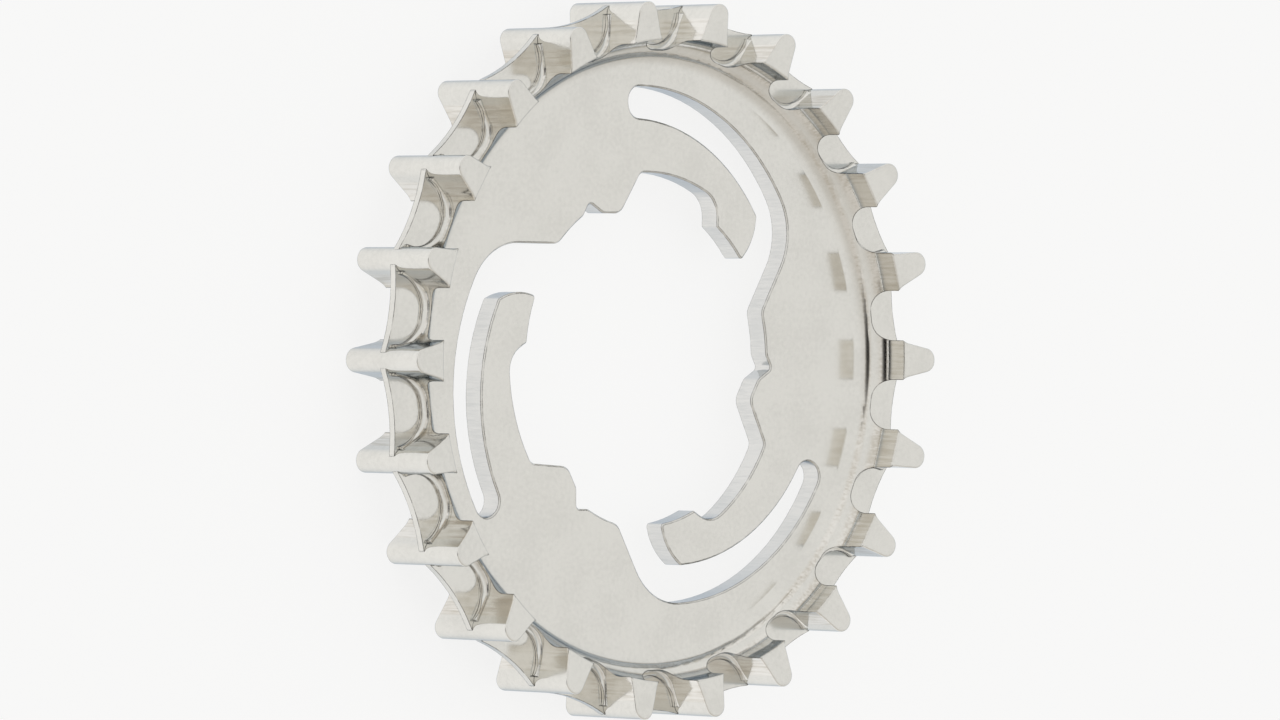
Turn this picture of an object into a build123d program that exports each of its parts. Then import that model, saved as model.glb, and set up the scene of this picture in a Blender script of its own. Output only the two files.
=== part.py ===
from build123d import *
import os
from math import asin, cos, degrees, radians, sin, sqrt, tan

os.makedirs("parts", exist_ok=True)

# A belt drive sprocket, cut from one piece of stainless steel.
# The axis is Z. It lies on the back ends of its teeth, at z = 0, with its front face up.

# Toothed ring, in millimetres and degrees
tooth_count = 22
tip_radius = 37.89
ring_width = 11.0
tooth_height = 5.29
tip_rounding = 1.25
flank_angle = 12.0
groove_floor_width = 4.97
groove_corner_rounding = 2.8
groove_floor_fillet = 0.5

# Ends of the teeth: a flat cone that leans out towards the tip
end_face_depth = 4.17
end_face_slope = 7.5
end_edge_rounding = 0.2

# Thin centre fin that stands between the teeth and runs in the groove of the belt.
# Its rim is hollowed between each two teeth, and its faces are round pockets in the grooves.
fin_thickness = 0.78
fin_drop = 1.04
fin_rim_curve = 18.5
fin_tip_clearance = 0.25
fin_flank_clearance = 0.05
fin_pocket_radius = 3.65
fin_pocket_depth = 0.25

# Plate inside the ring, its front face level with the middle of the teeth
plate_thickness = 2.5
back_cove = 0.8
bore_edge_chamfer = 0.15

# Ridge between the plate and the front of the teeth, with a hollow on each side
ridge_height = 1.2
ridge_inset = 1.4
ridge_rounding = 0.9
ridge_cove = 1.6
tooth_foot_fillet = 2.4

# Bore that fits a hub with three keyways: seats, lobes and spring arms, three of each
arm_count = 3
seat_radius = 17.7
lobe_angle = 105.9
seat_start = 30.8
seat_end = 15.8
seat_corner_rounding = 1.5
seat_end_rounding = 1.0

notch_depth = 0.84
notch_angle = 11.2
notch_rounding = 0.5
lobe_lead_height = 0.98
lobe_lead_angle = 7.0
lobe_lead_rounding = 0.8
lobe_trail_height = 1.82
lobe_trail_angle = 1.6
lobe_trail_rounding = 1.5
lobe_root_angle = 13.0
lobe_root_rounding = 1.0

# Spring arm, from its root beside the lobe to the foot at its free end
arm_relief = 2.05
pocket_angle = 47.3
pocket_rounding = 2.9
foot_grip = 0.25
foot_start_angle = 51.9
foot_end_angle = 68.5
foot_corner_rounding = 0.2
foot_end_rounding = 0.4
arm_end_bulge = 0.55
arm_tip_angle = 62.5
arm_tip_share = 0.41
arm_tip_rounding = 0.5
arm_curve_share = 0.856
slot_end_angle = 9.9

# Slot behind each arm, open at the free end of the arm.
# Shares are of the room between the seats and the outer edge of the slots.
slot_rim_margin = 1.86
slot_width = 3.32
slot_curve_share = 0.851
slot_mouth_angle = 45.3
slot_mouth_share = 0.686
slot_mouth_rounding = 6.9
slot_corner_share = 0.48

# Clearance by which the cutting shapes stand past the metal
overshoot = 1.0

tooth_pitch_angle = 360 / tooth_count
middle = ring_width / 2
plate_back = middle - plate_thickness
end_inner_radius = tip_radius - end_face_depth
slope = radians(end_face_slope)
end_outer_height = middle + end_edge_rounding * (tan(slope) + 1 / cos(slope) - 1)
end_inner_height = end_outer_height - end_face_depth * tan(slope)
ridge = Vector(end_inner_radius - ridge_inset, middle + ridge_height)
cove_start = Vector(ridge.X - sqrt(ridge_height * (2 * ridge_cove - ridge_height)), middle)
foot_end = Vector(end_inner_radius, ridge.Y + sqrt(ridge_inset * (2 * tooth_foot_fillet - ridge_inset)))
fin_radius = tip_radius - fin_drop
groove_bottom = tip_radius - tooth_height
groove_half_angle = flank_angle + tooth_pitch_angle / 2
fin_face = middle + fin_thickness / 2
fin_root_radius = (groove_bottom + fin_radius) / 2
arm_turn = 360 / arm_count
slot_outer_radius = cove_start.X - slot_rim_margin
slot_inner_radius = slot_outer_radius - slot_width
slot_room = slot_outer_radius - seat_radius

# Corner of the groove's floor, and the largest rounding that the floor leaves room for
flank_start = Vector(groove_bottom, groove_floor_width / 2)
largest_corner_rounding = 0.95 * flank_start.Y / tan(radians(45 - groove_half_angle / 2))

# Half the width of the flat left at a tooth tip, which the rounding of its two corners shares
flank_lean = radians(groove_half_angle)
flank_offset = groove_bottom * sin(flank_lean) - flank_start.Y * cos(flank_lean)
tip_half_angle = tooth_pitch_angle / 2 - groove_half_angle + degrees(asin(flank_offset / tip_radius))
tip_half_width = tip_radius * radians(tip_half_angle)
largest_tip_rounding = 0.95 * tip_half_width / tan(radians(45 - flank_angle / 2))

# Corners of half the cross-section, from the front of the teeth to the back of the plate
back_corner = Vector(end_inner_radius, plate_back)
section_corners = [
    Vector(end_inner_radius, middle + end_inner_height),
    Vector(tip_radius, middle + end_outer_height),
    Vector(tip_radius, middle - end_outer_height),
    Vector(end_inner_radius, middle - end_inner_height),
    back_corner,
]


def polar(radius, angle):
    """Point at a radius and an angle in degrees about the axis."""
    return Vector(radius * cos(radians(angle)), radius * sin(radians(angle)))


# Outline of one groove between two teeth, along +X
groove_mouth_x = tip_radius + overshoot
groove_mouth_y = flank_start.Y + (groove_mouth_x - flank_start.X) * tan(radians(groove_half_angle))
groove_points = [
    Vector(groove_mouth_x, groove_mouth_y),
    flank_start,
    Vector(flank_start.X, -flank_start.Y),
    Vector(groove_mouth_x, -groove_mouth_y),
]

with BuildSketch() as groove_outline:
    with BuildLine():
        Polyline(*groove_points, close=True)
    make_face()
    floor_corners = groove_outline.vertices().sort_by(Axis.X)[:2]
    fillet(floor_corners, radius=min(groove_corner_rounding, largest_corner_rounding))

# The two cuts of one groove, one each side of the fin, each with its pocket
with BuildPart() as groove_cut:
    with BuildSketch(Plane.XY.offset(fin_face + fin_pocket_depth)):
        add(groove_outline.sketch)
    extrude(amount=ring_width)
    floor_edges = groove_cut.edges().group_by(Axis.Z)[0].sort_by(Axis.X)[:-1]
    fillet(floor_edges, radius=groove_floor_fillet)
    with BuildSketch(Plane.XY.offset(fin_face)):
        with Locations((fin_radius, 0)):
            Circle(fin_pocket_radius)
    extrude(amount=ring_width)
    mirror(about=Plane.XY.offset(middle))

# Outline of the teeth seen along the axis, with the fin between them
with BuildSketch() as ring_outline:
    Circle(tip_radius)
    with PolarLocations(0, tooth_count, start_angle=tooth_pitch_angle / 2):
        add(groove_outline.sketch, mode=Mode.SUBTRACT)
    tip_corners = ring_outline.vertices().sort_by(lambda v: -Vector(v.X, v.Y).length)[: 2 * tooth_count]
    fillet(tip_corners, radius=min(tip_rounding, largest_tip_rounding))
    Circle(fin_radius - fin_flank_clearance)

# Outline of the fin, hollowed between the teeth and running up onto their tips
with BuildSketch() as fin_outline:
    Circle(tip_radius - fin_tip_clearance)
    Circle(fin_root_radius, mode=Mode.SUBTRACT)
    with PolarLocations(fin_radius + fin_rim_curve, tooth_count, start_angle=tooth_pitch_angle / 2):
        Circle(fin_rim_curve, mode=Mode.SUBTRACT)

# Outline of the bore with the slots behind the three arms
with BuildSketch() as bore_outline:
    corners = []
    with BuildLine():
        for arm in range(arm_count):
            lobe = lobe_angle - arm * arm_turn
            next_lobe = lobe - arm_turn
            arm_inner_radius = seat_radius + arm_relief
            foot_radius = seat_radius - foot_grip
            mouth_radius = seat_radius + slot_room * slot_mouth_share
            arm_tip_radius = seat_radius + slot_room * arm_tip_share
            mouth = polar(mouth_radius, lobe + slot_mouth_angle)
            seat_a = polar(seat_radius, lobe + seat_start)
            seat_b = polar(seat_radius, lobe + seat_end)
            notch = polar(seat_radius + notch_depth, lobe + notch_angle)
            lobe_lead = polar(seat_radius - lobe_lead_height, lobe + lobe_lead_angle)
            lobe_trail = polar(seat_radius - lobe_trail_height, lobe - lobe_trail_angle)
            root = polar(arm_inner_radius, lobe - lobe_root_angle)
            pocket = polar(arm_inner_radius, lobe - pocket_angle)
            foot_a = polar(foot_radius, lobe - foot_start_angle)
            foot_b = polar(foot_radius, lobe - foot_end_angle)
            arm_tip = polar(arm_tip_radius, lobe - arm_tip_angle)
            slot_in = polar(slot_inner_radius, lobe - slot_end_angle)
            slot_out = polar(slot_outer_radius, lobe - slot_end_angle)
            next_mouth = polar(mouth_radius, next_lobe + slot_mouth_angle)
            Line(mouth, seat_a)
            RadiusArc(seat_a, seat_b, seat_radius)
            Line(seat_b, notch)
            Line(notch, lobe_lead)
            Line(lobe_lead, lobe_trail)
            Line(lobe_trail, root)
            RadiusArc(root, pocket, arm_inner_radius)
            Line(pocket, foot_a)
            RadiusArc(foot_a, foot_b, foot_radius)
            SagittaArc(foot_b, arm_tip, -arm_end_bulge)
            RadiusArc(arm_tip, slot_in, -slot_inner_radius * arm_curve_share)
            Line(slot_in, slot_out)
            RadiusArc(slot_out, next_mouth, slot_outer_radius * slot_curve_share)
            corners += [
                (mouth, slot_mouth_rounding),
                (seat_a, seat_corner_rounding),
                (seat_b, seat_end_rounding),
                (notch, notch_rounding),
                (lobe_lead, lobe_lead_rounding),
                (lobe_trail, lobe_trail_rounding),
                (root, lobe_root_rounding),
                (pocket, pocket_rounding),
                (foot_a, foot_corner_rounding),
                (foot_b, foot_end_rounding),
                (arm_tip, arm_tip_rounding),
                (slot_in, slot_width * slot_corner_share),
                (slot_out, slot_width * slot_corner_share),
            ]
    make_face()
    for corner, rounding in corners:
        fillet(bore_outline.vertices().sort_by_distance(corner)[0], radius=rounding)

with BuildPart() as belt_sprocket:
    with BuildSketch(Plane.XZ) as section:
        with BuildLine():
            Line((0, middle), cove_start)
            RadiusArc(cove_start, ridge, -ridge_cove)
            RadiusArc(ridge, foot_end, -tooth_foot_fillet)
            Polyline(foot_end, *section_corners, (0, plate_back), (0, middle))
        make_face()
        fillet(section.vertices().sort_by_distance(ridge)[0], radius=ridge_rounding)
        fillet(section.vertices().sort_by_distance(back_corner)[0], radius=back_cove)
    revolve(axis=Axis.Z)
    with BuildSketch(Plane.XY.offset(-overshoot)):
        add(ring_outline.sketch)
    extrude(amount=ring_width + 2 * overshoot, mode=Mode.INTERSECT)
    with PolarLocations(0, tooth_count, start_angle=tooth_pitch_angle / 2):
        add(groove_cut.part, mode=Mode.SUBTRACT)
    fillet(belt_sprocket.faces().filter_by(GeomType.CONE).edges(), radius=end_edge_rounding)
    with BuildSketch(Plane.XY.offset(fin_face)):
        add(fin_outline.sketch)
    extrude(amount=-fin_thickness)
    with BuildSketch(Plane.XY.offset(-overshoot)):
        add(bore_outline.sketch)
    extrude(amount=ring_width + 2 * overshoot, mode=Mode.SUBTRACT)
    bore_walls = belt_sprocket.faces(Select.LAST).filter_by(Axis.Z, reverse=True)
    chamfer(bore_walls.edges().filter_by(Axis.Z, reverse=True), length=bore_edge_chamfer)

belt_sprocket.part.label = "belt_sprocket"
export_step(belt_sprocket.part, "parts/belt_sprocket.step")
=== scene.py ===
"""Looks of a belt drive sprocket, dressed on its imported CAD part.

The world frame is the part's own: the axis is +Z and the part lies on the back ends of
its teeth, at z = 0, with its front face up. Lengths are in metres unless a name says mm.
"""

import logging
import math
from dataclasses import dataclass, field
from enum import Enum

import bpy
from mathutils import Matrix, Vector

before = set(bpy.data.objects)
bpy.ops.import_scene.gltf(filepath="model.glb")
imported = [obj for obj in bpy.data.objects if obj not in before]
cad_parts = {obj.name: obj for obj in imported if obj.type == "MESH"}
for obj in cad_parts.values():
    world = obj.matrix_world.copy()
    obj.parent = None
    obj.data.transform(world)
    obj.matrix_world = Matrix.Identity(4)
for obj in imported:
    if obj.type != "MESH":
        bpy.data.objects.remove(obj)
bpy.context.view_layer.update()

MM = 0.001

# Sockets of the Mix node, which share their names and so are told apart by number
NUMBER_A, NUMBER_B, NUMBER_OUT = 2, 3, 0
COLOUR_A, COLOUR_B, COLOUR_OUT = 6, 7, 2

log = logging.getLogger("sprocket")

Socket = bpy.types.NodeSocket


class Zone(Enum):
    """Zones of the sprocket that different tools left their marks on."""

    FACE = "tumbled face"
    FLANK = "milled flank"
    BORE = "cut wall"


def to_linear(hex_colour: str) -> tuple[float, float, float, float]:
    """Turns an sRGB colour into the linear colour that shaders take.

    Args:
        hex_colour: The colour as six hex digits.

    Returns:
        Red, green, blue and an alpha of 1.
    """
    channels = [int(hex_colour[i : i + 2], 16) / 255 for i in (0, 2, 4)]
    linear = [c / 12.92 if c <= 0.04045 else ((c + 0.055) / 1.055) ** 2.4 for c in channels]
    return (*linear, 1.0)


def add_node(
    tree: bpy.types.NodeTree,
    kind: str,
    inputs: dict[int | str, object] | None = None,
    **settings: object,
) -> bpy.types.Node:
    """Adds one node with its settings, and sets or links its inputs.

    Args:
        tree: The tree that gets the node.
        kind: The node's type name, without the leading "ShaderNode".
        inputs: A value, or another node's output to link, for each socket.
        settings: Properties of the node itself.

    Returns:
        The new node.
    """
    node = tree.nodes.new("ShaderNode" + kind)
    for name, value in settings.items():
        setattr(node, name, value)
    for key, value in (inputs or {}).items():
        if isinstance(value, Socket):
            tree.links.new(value, node.inputs[key])
        else:
            node.inputs[key].default_value = value
    return node


@dataclass(frozen=True)
class SteelFinish:
    """One finish of the steel: its colour and gloss, and the marks of the tool that made it."""

    colour: str
    dull_colour: str
    roughness: float
    roughness_spread: float
    mark_size_mm: tuple[float, float, float]
    mark_depth_mm: float


@dataclass
class SprocketSteel:
    """Stainless steel, milled from plate and then tumbled to a satin.

    The eye sees a warm light grey, soft and even on the faces, with fine streaks along the
    flanks of the teeth where the cutter passed, and a cooler grey on the cut walls of the bore.
    Steel turns a little darker and bluer where it is seen at a low angle.
    """

    finishes: dict[Zone, SteelFinish] = field(
        default_factory=lambda: {
            Zone.FACE: SteelFinish("ebe9e3", "e4e2dc", 0.15, 0.03, (0.50, 0.50, 0.50), 0.0003),
            # Cutter marks are finer than a pixel, so they are drawn 0.25 to 0.3 mm apart
            Zone.FLANK: SteelFinish("f3f0ea", "d6d0c5", 0.12, 0.05, (0.30, 0.30, 4.0), 0.0016),
            Zone.BORE: SteelFinish("e7e6e3", "dcdcda", 0.18, 0.05, (0.25, 0.25, 2.5), 0.0008),
        }
    )
    low_angle_tint: str = "c9d2dc"
    edge_rounding_mm: float = 0.12
    edge_samples: int = 6
    # Colour of the painted reflection of the studio's dark side in the small rounding of sharp
    # edges
    dark_edge_reflection_colour: str = "2c2722"
    dark_edge_reflection_share: float = 0.95
    # Cosines of the turn in the normal at which the painted dark edge reflection starts and is full
    edge_turn: tuple[float, float] = (0.996, 0.96)
    edge_break_mm: float = 1.2
    edge_break_detail: float = 3.0
    # Noise values at which the painted dark edge reflection starts and is full
    edge_breaks: tuple[float, float] = (0.30, 0.50)
    ring_radius_mm: float = 31.9
    tip_radius_mm: float = 36.3
    bore_radius_mm: float = 30.3
    zone_blend_mm: float = 0.3
    # Upward shares of the normal at which a surface is wholly a wall and no longer one
    wall_slope: tuple[float, float] = (0.55, 0.80)
    mark_detail: float = 3.0
    mark_softness: float = 0.55
    # Noise values at which the marks leave the steel glossiest and dullest
    mark_range: tuple[float, float] = (0.2, 0.8)
    cloud_size_mm: float = 5.0
    cloud_detail: float = 2.0
    # Sums of cloud and marks at which the dull colour starts and is full
    dull_range: tuple[float, float] = (0.75, 1.35)

    def build(self) -> bpy.types.Material:
        """Builds the whole material.

        Returns:
            The finished material.
        """
        material = bpy.data.materials.new("stainless_steel_milled_and_tumbled")
        material.use_nodes = True
        tree = material.node_tree
        tree.nodes.clear()
        place = add_node(tree, "TexCoord").outputs["Object"]
        zones = self.zone_masks(tree, place)
        marks = {zone: self.marks(tree, place, finish) for zone, finish in self.finishes.items()}
        colour = self.blend(tree, zones, {z: self.colour(tree, place, z, marks[z]) for z in Zone})
        roughness = self.blend(tree, zones, {z: self.roughness(tree, z, marks[z]) for z in Zone})
        height = self.blend(tree, zones, {z: self.height(tree, z, marks[z]) for z in Zone})
        rounded = add_node(
            tree, "Bevel", {"Radius": self.edge_rounding_mm * MM}, samples=self.edge_samples
        ).outputs["Normal"]
        # Painted dark reflection along the sharp edges, laid into the base colour
        colour = self.paint_dark_edge_reflection(tree, place, colour, rounded)
        bump = add_node(
            tree, "Bump", {"Height": height, "Strength": 1.0, "Distance": MM, "Normal": rounded}
        )
        shader = add_node(
            tree,
            "BsdfPrincipled",
            {
                "Base Color": colour,
                "Roughness": roughness,
                "Normal": bump.outputs["Normal"],
                "Metallic": 1.0,
                "Specular Tint": to_linear(self.low_angle_tint),
            },
        )
        add_node(tree, "OutputMaterial", {"Surface": shader.outputs["BSDF"]})
        return material

    def paint_dark_edge_reflection(
        self, tree: bpy.types.NodeTree, place: Socket, colour: Socket, rounded: Socket
    ) -> Socket:
        """Paints a thin broken dark line along sharp edges, a painted reflection of the dark side
        of the studio in their small rounding, with breaks where the tumbling left the edges uneven.

        Args:
            tree: The material's tree.
            place: Where on the part the shaded point is.
            colour: The colour without the lines.
            rounded: The normal as the small rounding of the edges turns it.

        Returns:
            The colour with the lines.
        """
        normal = add_node(tree, "NewGeometry").outputs["Normal"]
        turn = add_node(
            tree, "VectorMath", {0: rounded, 1: normal}, operation="DOT_PRODUCT"
        ).outputs["Value"]
        edge = add_node(
            tree,
            "MapRange",
            {"Value": turn, "From Min": self.edge_turn[0], "From Max": self.edge_turn[1]},
        ).outputs["Result"]
        breaks = add_node(
            tree,
            "TexNoise",
            {
                "Vector": place,
                "Scale": 1 / (self.edge_break_mm * MM),
                "Detail": self.edge_break_detail,
            },
        ).outputs[0]
        share = add_node(
            tree,
            "MapRange",
            {
                "Value": breaks,
                "From Min": self.edge_breaks[0],
                "From Max": self.edge_breaks[1],
                "To Max": self.dark_edge_reflection_share,
            },
        ).outputs["Result"]
        line = add_node(tree, "Math", {0: edge, 1: share}, operation="MULTIPLY").outputs[0]
        mix = add_node(
            tree,
            "Mix",
            {0: line, COLOUR_A: colour, COLOUR_B: to_linear(self.dark_edge_reflection_colour)},
            data_type="RGBA",
        )
        return mix.outputs[COLOUR_OUT]

    def zone_masks(self, tree: bpy.types.NodeTree, place: Socket) -> dict[Zone, Socket]:
        """Finds the flanks and the bore walls by their radius and by how upright they are.

        Args:
            tree: The material's tree.
            place: Where on the part the shaded point is.

        Returns:
            The share of each zone other than the faces, from 0 to 1.
        """
        flat = add_node(
            tree, "VectorMath", {0: place, 1: (1.0, 1.0, 0.0)}, operation="MULTIPLY"
        ).outputs["Vector"]
        radius = add_node(tree, "VectorMath", {0: flat}, operation="LENGTH").outputs["Value"]
        normal = add_node(tree, "NewGeometry").outputs["Normal"]
        rise = add_node(tree, "SeparateXYZ", {0: normal}).outputs["Z"]
        lean = add_node(tree, "Math", {0: rise}, operation="ABSOLUTE").outputs[0]
        upright = add_node(
            tree,
            "MapRange",
            {
                "Value": lean,
                "From Min": self.wall_slope[0],
                "From Max": self.wall_slope[1],
                "To Min": 1.0,
                "To Max": 0.0,
            },
            interpolation_type="SMOOTHSTEP",
        ).outputs["Result"]
        past_ring, below_tip, in_bore = (
            add_node(
                tree,
                "MapRange",
                {"Value": radius, "From Min": limit * MM, "From Max": (limit + blend) * MM},
                interpolation_type="SMOOTHSTEP",
            ).outputs["Result"]
            for limit, blend in (
                (self.ring_radius_mm, self.zone_blend_mm),
                (self.tip_radius_mm, -self.zone_blend_mm),
                (self.bore_radius_mm, -self.zone_blend_mm),
            )
        )
        in_groove = add_node(
            tree, "Math", {0: past_ring, 1: below_tip}, operation="MULTIPLY"
        ).outputs[0]
        return {
            zone: add_node(tree, "Math", {0: inside, 1: upright}, operation="MULTIPLY").outputs[0]
            for zone, inside in ((Zone.FLANK, in_groove), (Zone.BORE, in_bore))
        }

    def marks(self, tree: bpy.types.NodeTree, place: Socket, finish: SteelFinish) -> Socket:
        """Draws the marks of one finish, long along the axis where the tool ran that way.

        Args:
            tree: The material's tree.
            place: Where on the part the shaded point is.
            finish: The finish whose marks these are.

        Returns:
            The marks as a number about 0.5.
        """
        scale = tuple(1 / (size * MM) for size in finish.mark_size_mm)
        scaled = add_node(tree, "Mapping", {"Vector": place, "Scale": scale}).outputs[0]
        noise = add_node(
            tree,
            "TexNoise",
            {
                "Vector": scaled,
                "Scale": 1.0,
                "Detail": self.mark_detail,
                "Roughness": self.mark_softness,
            },
        )
        return noise.outputs[0]

    def colour(self, tree: bpy.types.NodeTree, place: Socket, zone: Zone, marks: Socket) -> Socket:
        """Mixes a finish's two colours by its marks and by a wide soft cloud.

        Args:
            tree: The material's tree.
            place: Where on the part the shaded point is.
            zone: The zone to colour.
            marks: The marks of that zone.

        Returns:
            The zone's colour.
        """
        finish = self.finishes[zone]
        cloud = add_node(
            tree,
            "TexNoise",
            {
                "Vector": place,
                "Scale": 1 / (self.cloud_size_mm * MM),
                "Detail": self.cloud_detail,
            },
        ).outputs[0]
        both = add_node(tree, "Math", {0: cloud, 1: marks}, operation="ADD").outputs[0]
        share = add_node(
            tree,
            "MapRange",
            {"Value": both, "From Min": self.dull_range[0], "From Max": self.dull_range[1]},
            interpolation_type="SMOOTHSTEP",
        ).outputs["Result"]
        mix = add_node(
            tree,
            "Mix",
            {0: share, COLOUR_A: to_linear(finish.colour), COLOUR_B: to_linear(finish.dull_colour)},
            data_type="RGBA",
        )
        return mix.outputs[COLOUR_OUT]

    def roughness(self, tree: bpy.types.NodeTree, zone: Zone, marks: Socket) -> Socket:
        """Varies a finish's gloss with its marks.

        Args:
            tree: The material's tree.
            zone: The zone to gloss.
            marks: The marks of that zone.

        Returns:
            The zone's roughness.
        """
        finish = self.finishes[zone]
        low, high = (finish.roughness + side * finish.roughness_spread for side in (-1, 1))
        return add_node(
            tree,
            "MapRange",
            {
                "Value": marks,
                "From Min": self.mark_range[0],
                "From Max": self.mark_range[1],
                "To Min": low,
                "To Max": high,
            },
        ).outputs["Result"]

    def height(self, tree: bpy.types.NodeTree, zone: Zone, marks: Socket) -> Socket:
        """Gives the marks of a zone their depth in millimetres."""
        depth = self.finishes[zone].mark_depth_mm
        return add_node(tree, "Math", {0: marks, 1: depth}, operation="MULTIPLY").outputs[0]

    def blend(
        self, tree: bpy.types.NodeTree, zones: dict[Zone, Socket], values: dict[Zone, Socket]
    ) -> Socket:
        """Lays the values of the upright zones over that of the faces.

        Args:
            tree: The material's tree.
            zones: The share of each upright zone.
            values: A colour or a number for each zone.

        Returns:
            The blended colour or number.
        """
        result = values[Zone.FACE]
        if result.type == "RGBA":
            kind, first, second, out = "RGBA", COLOUR_A, COLOUR_B, COLOUR_OUT
        else:
            kind, first, second, out = "FLOAT", NUMBER_A, NUMBER_B, NUMBER_OUT
        for zone, share in zones.items():
            mix = add_node(
                tree, "Mix", {0: share, first: result, second: values[zone]}, data_type=kind
            )
            result = mix.outputs[out]
        return result


@dataclass
class Sprocket:
    """The one piece: the CAD node with its steel."""

    node: str = "belt_sprocket"
    slot: str = "stainless_steel"
    steel: SprocketSteel = field(default_factory=SprocketSteel)

    def dress(self) -> bpy.types.Object:
        """Gives the CAD node its steel.

        Returns:
            The dressed node.
        """
        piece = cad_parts[self.node]
        material = self.steel.build()
        for place in piece.material_slots:
            place.material = material
        log.info("%s: %d faces, %s", piece.name, len(piece.data.polygons), material.name)
        return piece


@dataclass
class Studio:
    """A pale floor under a soft dome of light, with a brighter side and a small dark one."""

    floor_size: float = 8.0
    floor_drop: float = 0.00003
    floor_colour: str = "f4f4f2"
    floor_white_share: float = 0.80
    floor_gloss_share: float = 0.85
    bright_colour: str = "eaeae9"
    shade_colour: str = "d0cdc8"
    dark_colour: str = "1e1d1c"
    bright_side: Vector = field(default_factory=lambda: Vector((0.25, 0.85, 0.45)))
    # Cosines of the angle to the bright side at which the dome is darkest and brightest
    bright_range: tuple[float, float] = (-0.6, 0.5)
    dark_side: Vector = field(default_factory=lambda: Vector((-0.99, -0.05, 0.10)))
    dark_half_angles_deg: tuple[float, float] = (3.0, 26.0)

    def build(self) -> None:
        """Builds the floor and the dome."""
        self.build_floor()
        self.build_dome()

    def build_floor(self) -> bpy.types.Object:
        """Lays the floor just under the part.

        Returns:
            The floor.
        """
        half = self.floor_size / 2
        outline = ((-half, -half), (half, -half), (half, half), (-half, half))
        corners = [(x, y, -self.floor_drop) for x, y in outline]
        mesh = bpy.data.meshes.new("floor")
        mesh.from_pydata(corners, [], [(0, 1, 2, 3)])
        floor = bpy.data.objects.new("floor", mesh)
        bpy.context.scene.collection.objects.link(floor)
        mesh.materials.append(self.floor_paint())
        log.info("floor: %.1f m square", self.floor_size)
        return floor

    def floor_paint(self) -> bpy.types.Material:
        """Mixes a matt paint that looks white, to the camera and in the steel, and keeps a shadow.

        Returns:
            The floor's material.
        """
        material = bpy.data.materials.new("matt_white_paint")
        material.use_nodes = True
        tree = material.node_tree
        tree.nodes.clear()
        paint = add_node(tree, "BsdfDiffuse", {"Color": to_linear(self.floor_colour)})
        white = add_node(tree, "Emission", {"Strength": 1.0})
        path = add_node(tree, "LightPath")
        share = add_node(
            tree,
            "Math",
            {0: path.outputs["Is Camera Ray"], 1: self.floor_white_share},
            operation="MULTIPLY",
        ).outputs[0]
        for ray in ("Is Glossy Ray", "Is Transmission Ray"):
            part = add_node(
                tree,
                "Math",
                {0: path.outputs[ray], 1: self.floor_gloss_share},
                operation="MULTIPLY",
            ).outputs[0]
            share = add_node(tree, "Math", {0: share, 1: part}, operation="MAXIMUM").outputs[0]
        mix = add_node(tree, "MixShader", {0: share, 1: paint.outputs[0], 2: white.outputs[0]})
        add_node(tree, "OutputMaterial", {"Surface": mix.outputs[0]})
        return material

    def build_dome(self) -> None:
        """Lights the part from a soft dome with a bright side and a dark gap at the horizon."""
        world = bpy.data.worlds.new("studio_dome")
        bpy.context.scene.world = world
        world.use_nodes = True
        tree = world.node_tree
        tree.nodes.clear()
        way = add_node(tree, "TexCoord").outputs["Generated"]
        side = add_node(
            tree, "VectorMath", {0: way, 1: self.bright_side.normalized()}, operation="DOT_PRODUCT"
        ).outputs["Value"]
        brightness = add_node(
            tree,
            "MapRange",
            {"Value": side, "From Min": self.bright_range[0], "From Max": self.bright_range[1]},
            interpolation_type="SMOOTHSTEP",
        ).outputs["Result"]
        dome = add_node(
            tree,
            "Mix",
            {
                0: brightness,
                COLOUR_A: to_linear(self.shade_colour),
                COLOUR_B: to_linear(self.bright_colour),
            },
            data_type="RGBA",
        ).outputs[COLOUR_OUT]
        near = add_node(
            tree, "VectorMath", {0: way, 1: self.dark_side.normalized()}, operation="DOT_PRODUCT"
        ).outputs["Value"]
        inner, outer = (math.cos(math.radians(angle)) for angle in self.dark_half_angles_deg)
        gap = add_node(
            tree,
            "MapRange",
            {"Value": near, "From Min": outer, "From Max": inner},
            interpolation_type="SMOOTHSTEP",
        ).outputs["Result"]
        colour = add_node(
            tree,
            "Mix",
            {0: gap, COLOUR_A: dome, COLOUR_B: to_linear(self.dark_colour)},
            data_type="RGBA",
        ).outputs[COLOUR_OUT]
        light = add_node(tree, "Background", {"Color": colour, "Strength": 1.0})
        add_node(tree, "OutputWorld", {"Surface": light.outputs[0]})
        log.info("studio dome: soft light all round")


@dataclass
class Camera:
    """The photograph's camera, worked out from the outlines of the ring and the bore."""

    yaw_deg: float = 44.043
    roll_deg: float = -0.762
    turn_deg: float = 0.6
    aim_height: float = 0.0055
    offset: Vector = field(default_factory=lambda: Vector((0.0007537, -0.0000073, -0.9473684)))
    lens_mm: float = 253.125
    sensor_mm: float = 36.0

    def build(self) -> bpy.types.Object:
        """Places the camera.

        Returns:
            The camera, which the scene then uses.
        """
        data = bpy.data.cameras.new("camera")
        data.sensor_width = self.sensor_mm
        data.lens = self.lens_mm
        camera = bpy.data.objects.new("camera", data)
        bpy.context.scene.collection.objects.link(camera)
        turns = [
            Matrix.Rotation(math.radians(angle), 4, axis)
            for angle, axis in ((self.roll_deg, "Z"), (self.yaw_deg, "Y"), (self.turn_deg, "Z"))
        ]
        turned = turns[0] @ turns[1] @ turns[2]
        aim = Matrix.Translation((0.0, 0.0, self.aim_height))
        camera.matrix_world = aim @ turned.inverted() @ Matrix.Translation(-self.offset)
        bpy.context.scene.camera = camera
        log.info("camera: %.1f mm lens", self.lens_mm)
        return camera


def main() -> None:
    """Builds the camera, the studio and the sprocket."""
    logging.basicConfig(level=logging.INFO, format="%(name)s: %(message)s")
    bpy.context.scene.view_settings.view_transform = "Standard"
    Camera().build()
    Studio().build()
    Sprocket().dress()


if __name__ == "__main__":
    main()
